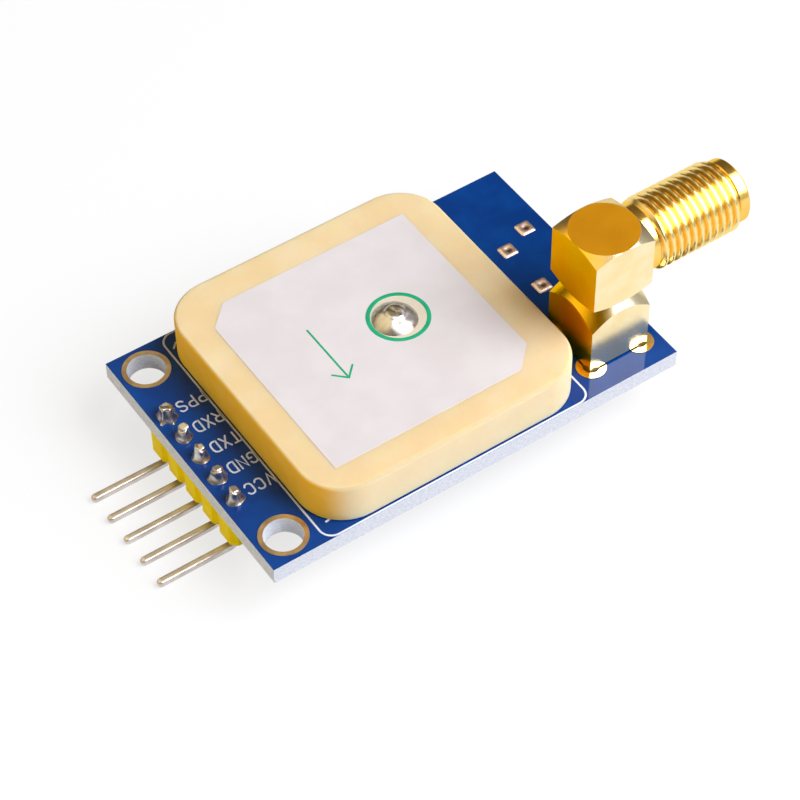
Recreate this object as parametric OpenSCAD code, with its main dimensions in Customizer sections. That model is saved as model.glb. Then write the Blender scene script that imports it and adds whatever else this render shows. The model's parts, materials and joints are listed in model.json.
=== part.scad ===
// Satellite receiver module: a circuit board with a ceramic patch antenna and a right-angle
// coaxial socket on top, and a five pin header and the receiver circuit underneath.
// +X runs from the header edge to the socket edge, +Z is up. The origin lies midway between
// the two mounting holes, on the underside of the board. Lengths are in millimetres.

/* [Circuit board] */
// Length of the board past the antenna, at the socket edge
tail_l = 8.45; // [8:0.05:16]
// Distance from the antenna's sides to the long edges of the board
side_margin = 0.1; // [0.05:0.05:4]
// Thickness of the board
board_t = 1.6; // [0.8:0.1:2.4]
// Diameter of the two mounting holes
hole_d = 3.2; // [2.2:0.1:3.4]
// Distance from a mounting hole's centre to the nearest two board edges
hole_inset = 2.4; // [2.2:0.1:3]
// Width of the bare copper ring round a mounting hole
hole_ring_w = 0.4; // [0.2:0.05:0.5]
// Thickness of a bare plated pad
pad_t = 0.05; // [0.03:0.01:0.1]
// Side of the tinned test pads
test_pad_w = 1.3; // [0.8:0.1:1.8]
// Height of the tin on a test pad
test_pad_h = 0.14; // [0.08:0.02:0.3]

/* [Patch antenna] */
// Side of the ceramic block
patch_side = 25; // [20:0.5:25.5]
// Height of the ceramic block
patch_h = 3.75; // [2:0.25:6]
// Radius of the ceramic block's upright corners
patch_corner_r = 4; // [1.5:0.25:6]
// Radius of the ceramic block's top rim
patch_rim_r = 0.3; // [0.1:0.05:0.7]
// Distance from the header edge of the board to the ceramic block
patch_inset = 5.05; // [4.8:0.05:6]
// Distance of the ceramic block from the middle of the board, across the board
patch_shift = 0.2; // [0:0.05:0.4]
// Thickness of the adhesive pad under the antenna
tape_t = 0.1; // [0.05:0.05:0.5]
// Distance by which the adhesive pad and ground layer stop short of the ceramic's sides
tape_inset = 0.8; // [0.3:0.1:2]
// Side of the silvered top electrode
electrode_side = 19.4; // [15:0.1:21]
// Cut on two opposite corners of the top electrode
electrode_cut = 2; // [0.5:0.1:3]
// Distance of the top electrode from the middle of the patch, along the board
electrode_x_off = 0.25; // [0:0.05:0.6]
// Distance of the top electrode from the middle of the patch, across the board
electrode_y_off = 0.2; // [0:0.05:0.6]
// Thickness of the silvered layers
silver_t = 0.03; // [0.02:0.01:0.1]
// Distance of the feed pin from the middle of the patch, along the board
feed_x_off = 2.35; // [1:0.05:4]
// Distance of the feed pin from the middle of the patch, across the board
feed_y_off = 0.2; // [0:0.05:2]
// Diameter of the feed pin
feed_d = 0.9; // [0.6:0.1:1.2]
// Diameter of the feed pin's head
feed_head_d = 1.8; // [1.4:0.1:2.4]
// Thickness of the feed pin's head
feed_head_t = 0.25; // [0.1:0.05:0.4]
// Length of the feed pin below the board
feed_tail = 1; // [0.7:0.1:1.5]
// Diameter of the solder dome over the feed pin's head
dome_d = 3.8; // [3:0.1:5]
// Height of the solder dome
dome_h = 0.9; // [0.6:0.1:1.5]

/* [Pin header] */
// Distance between neighbouring pins
pin_pitch = 2.54; // [2:0.02:2.54]
// Width of the square pins
pin_w = 0.64; // [0.5:0.02:0.7]
// Distance from the header edge of the board to the row of pins
pin_row_inset = 1.27; // [1.2:0.05:2]
// Length of the pins past the header edge of the board
pin_reach = 6.2; // [4:0.1:10]
// Length of the tapered pin tip
pin_taper = 0.4; // [0.3:0.1:1.2]
// Width of the flat at the end of a pin tip
pin_tip_w = 0.38; // [0.16:0.02:0.46]
// Radius of the bend, at the middle of the pin
pin_bend_r = 1; // [0.7:0.05:1.5]
// Height of the clipped pin ends above the board
pin_stub = 1.3; // [0.6:0.1:1.6]
// Height of the plastic block under the board
header_h = 2.54; // [1.5:0.02:3]
// Depth of the plastic block
header_depth = 2.48; // [1.8:0.02:2.5]
// Cut on the corners of each pin's section of the block
header_cut = 0.5; // [0.2:0.05:0.7]

/* [Coaxial socket] */
// Side of the square bar that the block is turned from
bar_w = 5.7; // [5.4:0.1:6.2]
// Distance from the socket edge of the board to the block
bar_inset_x = 1.4; // [0.9:0.1:1.8]
// Distance from the long board edge to the block
bar_inset_y = 2.2; // [1.2:0.05:4]
// Gap between the board and the block
block_gap = 0.2; // [0.1:0.1:0.8]
// Height of the straight corner edges of the block's foot
foot_h = 4.3; // [2.5:0.05:6]
// Slope of the turned shoulder on the foot, from level
foot_slope = 45; // [30:1:50]
// Diameter of the turned neck
neck_d = 4.5; // [4.2:0.1:4.8]
// Height of the turned neck
neck_h = 0.3; // [0.1:0.05:1]
// Height of the block's head
head_h = 5.8; // [5.5:0.05:8]
// Slope of the turned edges on the head, from level
head_slope = 25; // [15:1:35]
// Width of the four square legs
leg_w = 0.9; // [0.7:0.05:1.1]
// Length of the legs below the board
leg_l = 2.1; // [1.2:0.1:3]
// Diameter of the pads round the legs
leg_pad_d = 2.5; // [1.9:0.1:2.8]
// Diameter over the barrel's thread
thread_d = 6.2; // [5.9:0.05:6.4]
// Pitch of the thread
thread_pitch = 0.706; // [0.6:0.002:0.9]
// Depth of the thread
thread_h = 0.4; // [0.2:0.05:0.5]
// Length of the barrel, from the block to its mouth
barrel_l = 9.9; // [8:0.1:14]
// Length of the smooth collar against the block
collar_l = 0.9; // [0.5:0.1:1.5]
// Diameter of the smooth collar
collar_d = 5.6; // [5.3:0.1:5.8]
// Length of the plain nose at the mouth
nose_l = 1.1; // [0.5:0.1:1.6]
// Diameter of the plain nose
nose_d = 5.5; // [5.2:0.05:5.8]
// Diameter of the socket in the mouth
socket_d = 4.6; // [4.4:0.05:4.8]
// Depth of the socket
socket_depth = 1.9; // [1.5:0.1:2.4]
// Diameter of the insulator in the barrel
insulator_d = 4.1; // [3.6:0.1:4.2]
// Diameter of the spigot that seats the barrel in the block
spigot_d = 4.9; // [4.7:0.05:5]
// Length of that spigot
spigot_l = 1.4; // [0.8:0.1:2]
// Outer diameter of the slotted contact
contact_d = 1.27; // [1.2:0.05:1.5]
// Bore of the slotted contact
contact_bore_d = 0.94; // [0.9:0.02:1]
// Depth of that bore and of its slots
contact_depth = 2.6; // [2:0.1:3.5]
// Width of the slots
contact_slot_w = 0.12; // [0.06:0.02:0.16]
// Diameter of the tail that runs down to the board
tail_d = 0.9; // [0.7:0.05:1]
// Diameter of the bead that carries the tail
bead_d = 3; // [2.4:0.1:3.2]

/* [Receiver] */
// Length of the receiver's own board, along the main board
receiver_l = 12.2; // [11:0.1:13]
// Width of the receiver's own board
receiver_w = 16; // [15.6:0.1:17]
// Thickness of the receiver's own board
receiver_t = 0.8; // [0.6:0.1:1.2]
// Gap between the receiver and the solder round the feed pin
receiver_gap = 0.9; // [0.5:0.1:1.2]
// Diameter of the half holes along the receiver's sides
notch_d = 0.7; // [0.5:0.05:0.8]
// Distance between neighbouring half holes
notch_pitch = 1.1; // [1:0.05:1.15]
// Height of the shield can
shield_h = 1.6; // [1.2:0.1:2]
// Wall of the shield can
shield_wall = 0.2; // [0.1:0.05:0.3]
// Ledge of the receiver's board round the shield can
shield_ledge = 0.75; // [0.5:0.05:1]
// Radius of the shield can's upright corners
shield_corner_r = 1; // [0.6:0.1:1.5]
// Radius of the shield can's rim
shield_rim_r = 0.25; // [0.1:0.05:0.4]

/* [Backup cell] */
// Diameter of the coin cell
cell_d = 6.8; // [4.8:0.1:7.4]
// Height of the coin cell
cell_h = 2.1; // [1.4:0.1:2.4]
// Width of the step round the cell's lid
cell_step = 0.55; // [0.3:0.05:0.8]
// Thickness of the cell's tabs
tab_t = 0.15; // [0.1:0.05:0.25]
// Width of the cell's tabs
tab_w = 2.4; // [1.6:0.1:3]
// Length of a tab's foot outside the cell
tab_foot = 1.5; // [1:0.1:1.8]

/* [Small parts] */
// Length of the memory chip's body
memory_l = 4.9; // [4:0.1:5.2]
// Width of the memory chip's body
memory_w = 3.9; // [3.4:0.1:4.2]
// Height of the memory chip's body
memory_h = 1.4; // [1:0.1:1.6]
// Length of the regulator's body
regulator_l = 2.9; // [2.6:0.1:3.2]
// Width of the regulator's body
regulator_w = 1.6; // [1.4:0.1:1.8]
// Height of the regulator's body
regulator_h = 1.05; // [0.8:0.05:1.2]
// Length of the diode's body
diode_l = 1.7; // [1.5:0.1:2]
// Width of the diode's body
diode_w = 1.25; // [1:0.05:1.4]
// Height of the diode's body
diode_h = 0.9; // [0.7:0.05:1.1]
// Length of a chip resistor, capacitor or lamp
chip_l = 1.6; // [1.2:0.1:1.8]
// Width of a chip resistor, capacitor or lamp
chip_w = 0.8; // [0.6:0.05:1]
// Length of a chip's metal end
chip_end = 0.35; // [0.2:0.05:0.4]
// Height of a chip capacitor
capacitor_h = 0.8; // [0.5:0.05:1]
// Height of a chip resistor
resistor_h = 0.45; // [0.35:0.05:0.6]
// Height of the lamp's base
lamp_base_h = 0.25; // [0.2:0.05:0.35]
// Height of the lamp's lens
lamp_lens_h = 0.4; // [0.25:0.05:0.6]

/* [Clearances] */
// Clearance round a pin, leg or tail in its hole in the board
lead_clear = 0.05; // [0.02:0.01:0.1]
// Clearance round pieces pressed into the socket
press_clear = 0.02; // [0.01:0.01:0.04]
// Gap between neighbouring parts under the board
part_gap = 0.6; // [0.4:0.1:0.7]
// Gap between the plastic block and the bend of the pins
bend_gap = 0.2; // [0.02:0.01:0.4]

/* [Hidden] */
$fn = 64;
// Overrun of a cut past the faces that it goes through
cut = 1;

// The board reaches round the antenna, from the header edge to the socket edge
board_l = patch_inset + patch_side + tail_l;
board_w = patch_side + 2 * side_margin;
header_edge = -hole_inset;
socket_edge = board_l - hole_inset;
side_edge = board_w / 2;

// Mounting holes, and the tinned test pads measured from the socket edge
hole_y = side_edge - hole_inset;
test_pad_places = [[1.9, 5.6], [4.6, 4.3], [4.6, -0.5]];
test_dimple_d = 0.55;

// Levels of the antenna's layers, and the axis of the feed pin
ground_z = board_t + tape_t;
ceramic_z = ground_z + silver_t;
electrode_z = ceramic_z + patch_h;
feed_head_z = electrode_z + silver_t;
patch_x = header_edge + patch_inset + patch_side / 2;
feed_x = patch_x + feed_x_off;
feed_y = patch_shift + feed_y_off;
feed_hole_d = feed_d + 2 * lead_clear;
ground_gap_d = 3;
feed_joint_w = 0.65;
feed_joint_d = feed_d + 2 * feed_joint_w;

// Pin header
pin_count = 5;
pin_x = header_edge + pin_row_inset;
pin_axis_z = -(header_h + bend_gap + pin_bend_r);
pin_hole_d = pin_w * sqrt(2) + 2 * lead_clear;
pin_joint_d = 1.55;
function pin_y(i) = (i - (pin_count - 1) / 2) * pin_pitch;

// Block of the socket: its axis, its levels above the board and its two crossing bores
bar_x = socket_edge - bar_inset_x - bar_w / 2;
bar_y = -side_edge + bar_inset_y + bar_w / 2;
bar_corner_r = bar_w / sqrt(2);
foot_z = board_t + block_gap;
shoulder_z = foot_z + foot_h;
neck_z = shoulder_z + (bar_corner_r - neck_d / 2) * tan(foot_slope);
head_z = neck_z + neck_h;
top_z = head_z + head_h;
barrel_z = head_z + head_h / 2;
leg_at = bar_w / 2 - leg_w / 2;
leg_hole_d = leg_w * sqrt(2) + 2 * lead_clear;
tail_hole_d = tail_d + 2 * lead_clear;
tail_ring_w = 0.4;
tail_pad_d = tail_hole_d + 2 * tail_ring_w;
// Places along the barrel, measured from the axis of the block
barrel_face = bar_w / 2;
barrel_end = barrel_face + barrel_l;
socket_floor = barrel_end - socket_depth;
thread_from = barrel_face + collar_l;
thread_to = barrel_end - nose_l;
bore_back = -insulator_d / 3;
contact_back = -tail_d;
bead_web = 0.9;
bead_top_z = barrel_z - insulator_d / 2 - bead_web;

// Leads of the moulded parts: reach from the body, width, thickness, spacing as a share of
// the body's length, and the lift of the body off the board
memory_lead_l = 1.05;
memory_lead_w = 0.42;
memory_lead_t = 0.2;
memory_lead_step = 0.26;
memory_lift = 0.15;
regulator_lead_l = 0.6;
regulator_lead_w = 0.4;
regulator_lead_t = 0.15;
regulator_lead_step = 0.33;
regulator_lift = 0.08;
diode_lead_l = 0.4;
diode_lead_w = 0.3;
diode_lead_t = 0.12;
diode_lift = 0.05;

// Places under the board. Each part keeps clear of the feed pin's joint and of its neighbour.
receiver_x = feed_x - feed_joint_d / 2 - receiver_gap - receiver_l / 2;
notch_count = 12;
notch_split = 7;
notch_split_gap = 1.9;
notch_span = (notch_count - 1) * notch_pitch + notch_split_gap;
function notch_y(i) = i * notch_pitch - notch_span / 2 + (i < notch_split ? 0 : notch_split_gap);
part_left = feed_x + feed_joint_d / 2 + part_gap;
cell_x = part_left + tab_foot + tab_t + part_gap / 2 + cell_d / 2;
cell_inset = 2;
cell_y = side_edge - cell_inset - cell_d / 2;
cell_right = cell_x + cell_d / 2 + part_gap / 2 + tab_t + tab_foot;
memory_span = memory_w + 2 * memory_lead_l;
memory_x = part_left + memory_l / 2 + chip_w + part_gap;
memory_y = cell_y - cell_d / 2 - part_gap - memory_span / 2;
regulator_span = regulator_w + 2 * regulator_lead_l;
regulator_x = cell_right + part_gap + regulator_l / 2;
regulator_y = cell_y;
chip_row_y = receiver_w / 2 + notch_d / 2 + part_gap + chip_w / 2;
chip_step = chip_l + 2 * part_gap;
supply_row = regulator_span / 2 + part_gap + chip_w / 2;
diode_span = diode_l + 2 * diode_lead_l;
diode_y = memory_y - memory_span / 2 - part_gap - diode_w / 2;
lamp_y = regulator_y - supply_row - chip_w - part_gap;
capacitor_places = [
    for (i = [-1 : 1]) [receiver_x + i * chip_step, chip_row_y],
    [regulator_x, regulator_y + supply_row],
    [regulator_x, regulator_y - supply_row]
];
resistor_places = [
    for (i = [-1 : 1]) [receiver_x + i * chip_step, -chip_row_y],
    [regulator_x, lamp_y - chip_w - part_gap]
];
lamp_place = [regulator_x, lamp_y];

// Upright hole through the board
module board_hole(place, d) {
    translate([place.x, place.y, -cut]) cylinder(d = d, h = board_t + 2 * cut);
}

// Child standing under the board, with its own +Z pointing down
module under(x, y) {
    translate([x, y, 0]) mirror([0, 0, 1]) children();
}

// Section of a plate with a rounded top rim, standing on the X axis
module rim_section(w, h, rim_r) {
    translate([-w / 2, 0]) square([w, h - rim_r]);
    translate([-w / 2 + rim_r, 0]) square([w - 2 * rim_r, h]);
    for (side = [-1, 1]) translate([side * (w / 2 - rim_r), h - rim_r]) circle(r = rim_r);
}

// Plate with upright corners of one radius and a top rim of another
module rimmed_plate(l, w, h, corner_r, rim_r) {
    rotate([90, 0, 0]) linear_extrude(w - 2 * corner_r, center = true) rim_section(l, h, rim_r);
    rotate([90, 0, 90]) linear_extrude(l - 2 * corner_r, center = true) rim_section(w, h, rim_r);
    for (x = [-1, 1], y = [-1, 1])
        translate([x * (l / 2 - corner_r), y * (w / 2 - corner_r), 0])
            rotate_extrude() intersection() {
                rim_section(2 * corner_r, h, rim_r);
                square([corner_r, h]);
            }
}

// Solder that climbs from a pad to a lead in a hollow quarter round
module solder_fillet(pad_d, lead_d) {
    lip = 0.05;
    climb = (pad_d - lead_d) / 2;
    rotate_extrude() difference() {
        square([pad_d / 2, lip + climb]);
        translate([pad_d / 2, lip + climb]) circle(r = climb);
    }
}

// Moulded chip body with sides that lean in from the parting line at half height
module moulded_body(l, w, h, lift) {
    lean = 0.1;
    intersection() {
        rotate([90, 0, 0]) linear_extrude(w, center = true) leaning_section(l, h, lift, lean);
        rotate([90, 0, 90]) linear_extrude(l, center = true) leaning_section(w, h, lift, lean);
    }
}

module leaning_section(w, h, lift, lean) {
    translate([0, lift]) polygon([
        [-w / 2 + lean, 0], [w / 2 - lean, 0], [w / 2, h / 2],
        [w / 2 - lean, h], [-w / 2 + lean, h], [-w / 2, h / 2]
    ]);
}

// Gull-wing lead: out of the body at half its height, down, and flat on the board
module gull_lead(w, from_y, to_y, top, t) {
    knee_share = 0.4;
    knee = from_y + (to_y - from_y) * knee_share;
    rotate([90, 0, 90]) linear_extrude(w, center = true) polygon([
        [from_y, top - t / 2], [knee - t / 2, top - t / 2], [knee - t / 2, 0], [to_y, 0],
        [to_y, t], [knee + t / 2, t], [knee + t / 2, top + t / 2], [from_y, top + t / 2]
    ]);
}

module circuit_board() {
    color("#0b4aa8") difference() {
        translate([header_edge, -side_edge, 0]) cube([board_l, board_w, board_t]);
        for (side = [-1, 1]) board_hole([0, side * hole_y], hole_d);
        for (i = [0 : pin_count - 1]) board_hole([pin_x, pin_y(i)], pin_hole_d);
        board_hole([feed_x, feed_y], feed_hole_d);
        board_hole([bar_x, bar_y], tail_hole_d);
        for (x = [-1, 1], y = [-1, 1])
            board_hole([bar_x + x * leg_at, bar_y + y * leg_at], leg_hole_d);
    }
}

module hole_rings() {
    color("#c98b3c") for (side = [-1, 1], z = [-pad_t, board_t])
        translate([0, side * hole_y, z]) difference() {
            cylinder(d = hole_d + 2 * hole_ring_w, h = pad_t);
            translate([0, 0, -cut]) cylinder(d = hole_d, h = pad_t + 2 * cut);
        }
}

module test_pads() {
    color("#d8cfd6") for (place = test_pad_places)
        translate([socket_edge - place.x, place.y, board_t]) difference() {
            translate([-test_pad_w / 2, -test_pad_w / 2, 0]) cube([test_pad_w, test_pad_w, test_pad_h]);
            translate([0, 0, test_pad_h / 2]) cylinder(d = test_dimple_d, h = test_pad_h);
        }
}

module antenna_ceramic() {
    color("#f4dcae") difference() {
        translate([patch_x, patch_shift, ceramic_z])
            rimmed_plate(patch_side, patch_side, patch_h, patch_corner_r, patch_rim_r);
        translate([feed_x, feed_y, ceramic_z - cut]) cylinder(d = feed_hole_d, h = patch_h + 2 * cut);
    }
}

module antenna_electrode() {
    half = electrode_side / 2;
    color("#e8e0df") translate([0, 0, electrode_z]) linear_extrude(silver_t) difference() {
        translate([patch_x - electrode_x_off, patch_shift - electrode_y_off]) polygon([
            [-half, -half], [half - electrode_cut, -half], [half, -half + electrode_cut],
            [half, half], [-half + electrode_cut, half], [-half, half - electrode_cut]
        ]);
        translate([feed_x, feed_y]) circle(d = feed_hole_d);
    }
}

// Layer under the ceramic, open round the feed pin
module under_layer(z, t) {
    w = patch_side - 2 * tape_inset;
    r = patch_corner_r - tape_inset;
    translate([0, 0, z]) linear_extrude(t) difference() {
        translate([patch_x, patch_shift]) {
            square([w, w - 2 * r], center = true);
            square([w - 2 * r, w], center = true);
            for (x = [-1, 1], y = [-1, 1]) translate([x, y] * (w / 2 - r)) circle(r = r);
        }
        translate([feed_x, feed_y]) circle(d = ground_gap_d);
    }
}

module antenna_ground() {
    color("#cfcac4") under_layer(ground_z, silver_t);
}

module antenna_tape() {
    color("#e9e5da") under_layer(board_t, tape_t);
}

module feed_pin() {
    color("#d9d4cc") translate([feed_x, feed_y, 0]) {
        translate([0, 0, feed_head_z]) cylinder(d = feed_head_d, h = feed_head_t);
        translate([0, 0, -feed_tail]) cylinder(d = feed_d, h = feed_head_z + feed_tail);
    }
}

module feed_dome() {
    ball_r = (pow(dome_d / 2, 2) + pow(dome_h, 2)) / (2 * dome_h);
    color("#b9b4a8") translate([feed_x, feed_y, feed_head_z]) difference() {
        rotate_extrude() intersection() {
            translate([0, dome_h - ball_r]) circle(r = ball_r);
            square([dome_d, dome_h]);
        }
        translate([0, 0, -cut]) cylinder(d = feed_head_d, h = feed_head_t + cut);
    }
}

module feed_joint() {
    color("#b9b4a8") under(feed_x, feed_y) difference() {
        solder_fillet(feed_joint_d, feed_d);
        translate([0, 0, -cut]) cylinder(d = feed_d, h = feed_joint_d + 2 * cut);
    }
}

module header_block() {
    x = header_depth / 2;
    y = pin_pitch / 2;
    color("#e8c400") translate([pin_x, 0, -header_h]) linear_extrude(header_h)
        for (i = [0 : pin_count - 1]) translate([0, pin_y(i)]) difference() {
            polygon([
                [-x, -y + header_cut], [-x + header_cut, -y], [x - header_cut, -y], [x, -y + header_cut],
                [x, y - header_cut], [x - header_cut, y], [-x + header_cut, y], [-x, y - header_cut]
            ]);
            square(pin_w, center = true);
        }
}

// Outline of the level end of a pin, tapered to its tip
module pin_outline(l) {
    polygon([
        [0, -pin_w / 2], [0, pin_w / 2], [pin_taper - l, pin_w / 2],
        [-l, pin_tip_w / 2], [-l, -pin_tip_w / 2], [pin_taper - l, -pin_w / 2]
    ]);
}

// Pin with a straight leg through the block and the board, one bend and a level end
module header_pin(i) {
    bend_x = pin_x - pin_bend_r;
    bend_z = pin_axis_z + pin_bend_r;
    level_l = bend_x - header_edge + pin_reach;
    color("#cfc8bb") translate([0, pin_y(i), 0]) {
        translate([pin_x - pin_w / 2, -pin_w / 2, bend_z])
            cube([pin_w, pin_w, board_t + pin_stub - bend_z]);
        translate([bend_x, 0, bend_z]) rotate([90, 0, 0]) rotate([0, 0, -90])
            rotate_extrude(angle = 90) translate([pin_bend_r, 0]) square(pin_w, center = true);
        translate([bend_x, 0, pin_axis_z]) intersection() {
            linear_extrude(pin_w, center = true) pin_outline(level_l);
            rotate([90, 0, 0]) linear_extrude(pin_w, center = true) pin_outline(level_l);
        }
    }
}

module header_joints() {
    color("#c4c0ba") for (i = [0 : pin_count - 1]) translate([pin_x, pin_y(i), board_t]) difference() {
        solder_fillet(pin_joint_d, pin_w * sqrt(2));
        translate([-pin_w / 2, -pin_w / 2, -cut]) cube([pin_w, pin_w, pin_stub + 2 * cut]);
    }
}

// Half section of the turning on the square bar: foot, shoulder, neck and head with turned edges
module bar_turning() {
    wide = bar_w;
    shoulder_drop = (wide - bar_corner_r) * tan(foot_slope);
    edge_drop = (wide - bar_w / 2) * tan(head_slope);
    polygon([
        [0, foot_z], [wide, foot_z], [wide, shoulder_z - shoulder_drop],
        [neck_d / 2, neck_z], [neck_d / 2, head_z], [bar_w / 2, head_z],
        [wide, head_z + edge_drop], [wide, top_z - edge_drop], [bar_w / 2, top_z], [0, top_z]
    ]);
}

module socket_block() {
    color("#d9a21b") translate([bar_x, bar_y, 0]) difference() {
        union() {
            intersection() {
                translate([-bar_w / 2, -bar_w / 2, 0]) cube([bar_w, bar_w, top_z]);
                rotate_extrude() bar_turning();
            }
            for (x = [-1, 1], y = [-1, 1])
                translate([x * leg_at - leg_w / 2, y * leg_at - leg_w / 2, -leg_l])
                    cube([leg_w, leg_w, leg_l + foot_z]);
        }
        translate([bore_back, 0, barrel_z]) rotate([0, 90, 0])
            cylinder(d = insulator_d + 2 * press_clear, h = barrel_face - bore_back + cut);
        translate([barrel_face - spigot_l, 0, barrel_z]) rotate([0, 90, 0])
            cylinder(d = spigot_d + 2 * press_clear, h = spigot_l + cut);
        translate([0, 0, foot_z - cut])
            cylinder(d = bead_d + 2 * press_clear, h = bead_top_z - foot_z + cut);
        cylinder(d = tail_d + 4 * lead_clear, h = barrel_z);
    }
}

// Section of one groove between two ridges of the thread, at its place along the barrel
function thread_groove(middle) =
    let (crest_r = thread_d / 2, root_r = crest_r - thread_h,
         mouth = 0.4 * thread_pitch, root = 0.09 * thread_pitch)
    [[crest_r, middle - mouth], [root_r, middle - root], [root_r, middle + root], [crest_r, middle + mouth]];

// Barrel, turned in one, with its thread as a row of ridges round it
module socket_barrel() {
    mouth_bevel = 0.2;
    grooves = floor((thread_to - thread_from) / thread_pitch);
    first = (thread_from + thread_to - (grooves - 1) * thread_pitch) / 2;
    color("#dda51e") translate([bar_x, bar_y, barrel_z]) rotate([0, 90, 0]) rotate_extrude() polygon([
        [insulator_d / 2, barrel_face - spigot_l], [spigot_d / 2, barrel_face - spigot_l],
        [spigot_d / 2, barrel_face], [collar_d / 2, barrel_face],
        [collar_d / 2, thread_from], [thread_d / 2, thread_from],
        for (i = [0 : grooves - 1]) each thread_groove(first + i * thread_pitch),
        [thread_d / 2, thread_to], [nose_d / 2, thread_to],
        [nose_d / 2, barrel_end - mouth_bevel], [nose_d / 2 - mouth_bevel, barrel_end],
        [socket_d / 2, barrel_end], [socket_d / 2, socket_floor], [insulator_d / 2, socket_floor]
    ]);
}

module socket_insulator() {
    color("#f2efe6") translate([bar_x, bar_y, barrel_z]) difference() {
        translate([bore_back, 0, 0]) rotate([0, 90, 0])
            cylinder(d = insulator_d - 2 * press_clear, h = socket_floor - bore_back);
        translate([contact_back, 0, 0]) rotate([0, 90, 0])
            cylinder(d = contact_d + 2 * press_clear, h = socket_floor - contact_back + cut);
        translate([0, 0, -insulator_d]) cylinder(d = tail_d + 2 * press_clear, h = insulator_d);
    }
}

module socket_contact() {
    color("#e3b23a") translate([bar_x, bar_y, barrel_z]) difference() {
        translate([contact_back, 0, 0]) rotate([0, 90, 0])
            cylinder(d = contact_d, h = socket_floor - contact_back);
        translate([socket_floor - contact_depth, 0, 0]) rotate([0, 90, 0])
            cylinder(d = contact_bore_d, h = contact_depth + cut);
        for (turn = [0, 90]) rotate([turn, 0, 0])
            translate([socket_floor - contact_depth, -contact_slot_w / 2, -contact_d])
                cube([contact_depth + cut, contact_slot_w, 2 * contact_d]);
        translate([0, 0, -contact_d]) cylinder(d = tail_d + 2 * press_clear, h = contact_d);
    }
}

module socket_tail() {
    color("#e3b23a") translate([bar_x, bar_y, -leg_l]) cylinder(d = tail_d, h = leg_l + barrel_z);
}

module socket_bead() {
    color("#f2efe6") translate([bar_x, bar_y, foot_z]) difference() {
        cylinder(d = bead_d, h = bead_top_z - foot_z);
        translate([0, 0, -cut]) cylinder(d = tail_d + 2 * press_clear, h = bead_top_z + 2 * cut);
    }
}

// Flat plated ring round a hole, standing on the board's top or hanging under it
module plated_ring(place, z, outer_d, inner_d) {
    translate([place.x, place.y, z]) difference() {
        cylinder(d = outer_d, h = pad_t);
        translate([0, 0, -cut]) cylinder(d = inner_d, h = pad_t + 2 * cut);
    }
}

module socket_pads() {
    color("#e0b040") translate([bar_x, bar_y, 0]) for (z = [-pad_t, board_t]) {
        plated_ring([0, 0], z, tail_pad_d, tail_hole_d);
        for (x = [-1, 1], y = [-1, 1]) plated_ring([x * leg_at, y * leg_at], z, leg_pad_d, leg_hole_d);
    }
}

module socket_joints() {
    color("#c4c0ba") translate([0, 0, -pad_t]) {
        for (x = [-1, 1], y = [-1, 1]) under(bar_x + x * leg_at, bar_y + y * leg_at) difference() {
            solder_fillet(leg_pad_d, leg_w * sqrt(2));
            translate([-leg_w / 2, -leg_w / 2, -cut]) cube([leg_w, leg_w, leg_l + 2 * cut]);
        }
        under(bar_x, bar_y) difference() {
            solder_fillet(tail_pad_d, tail_d);
            translate([0, 0, -cut]) cylinder(d = tail_d, h = leg_l + 2 * cut);
        }
    }
}

module receiver_board() {
    color("#1d6b3a") under(receiver_x, 0) difference() {
        translate([-receiver_l / 2, -receiver_w / 2, 0]) cube([receiver_l, receiver_w, receiver_t]);
        for (side = [-1, 1], i = [0 : notch_count - 1])
            translate([side * receiver_l / 2, notch_y(i), -cut])
                cylinder(d = notch_d, h = receiver_t + 2 * cut);
    }
}

module receiver_shield() {
    l = receiver_l - 2 * shield_ledge;
    w = receiver_w - 2 * shield_ledge;
    color("#c9cbcd") under(receiver_x, 0) translate([0, 0, receiver_t]) difference() {
        rimmed_plate(l, w, shield_h, shield_corner_r, shield_rim_r);
        translate([-l / 2 + shield_wall, -w / 2 + shield_corner_r, -cut])
            cube([l - 2 * shield_wall, w - 2 * shield_corner_r, shield_h - shield_wall + cut]);
        translate([-l / 2 + shield_corner_r, -w / 2 + shield_wall, -cut])
            cube([l - 2 * shield_corner_r, w - 2 * shield_wall, shield_h - shield_wall + cut]);
    }
}

// Solder standing in each half hole, half in the hole and half on the main board
module receiver_joints() {
    climb_share = 0.8;
    color("#c4c0ba") under(receiver_x, 0) for (side = [-1, 1], i = [0 : notch_count - 1])
        translate([side * receiver_l / 2, notch_y(i), 0])
            cylinder(d1 = notch_d - 2 * press_clear, d2 = notch_d / 2, h = receiver_t * climb_share);
}

// Coin cell: a can, and a lid stepped in from its rim
module backup_cell() {
    rim = 0.3;
    step_share = 0.7;
    step_z = cell_h * step_share;
    color("#d2d3d4") under(cell_x, cell_y) translate([0, 0, tab_t]) rotate_extrude() {
        square([cell_d / 2 - rim, step_z]);
        translate([0, rim]) square([cell_d / 2, step_z - rim]);
        translate([cell_d / 2 - rim, rim]) circle(r = rim);
        square([cell_d / 2 - cell_step, cell_h]);
    }
}

// One tab lies under the cell, and the other bends over its lid and down to the board
module cell_tabs() {
    inner = cell_d / 2 + part_gap / 2;
    outer = inner + tab_t + tab_foot;
    lid_z = tab_t + cell_h;
    color("#c8c6c0") under(cell_x, cell_y) {
        translate([-outer, -tab_w / 2, 0]) cube([outer, tab_w, tab_t]);
        rotate([90, 0, 0]) linear_extrude(tab_w, center = true) polygon([
            [0, lid_z], [inner, lid_z], [inner, 0], [outer, 0],
            [outer, tab_t], [inner + tab_t, tab_t], [inner + tab_t, lid_z + tab_t], [0, lid_z + tab_t]
        ]);
    }
}

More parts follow.
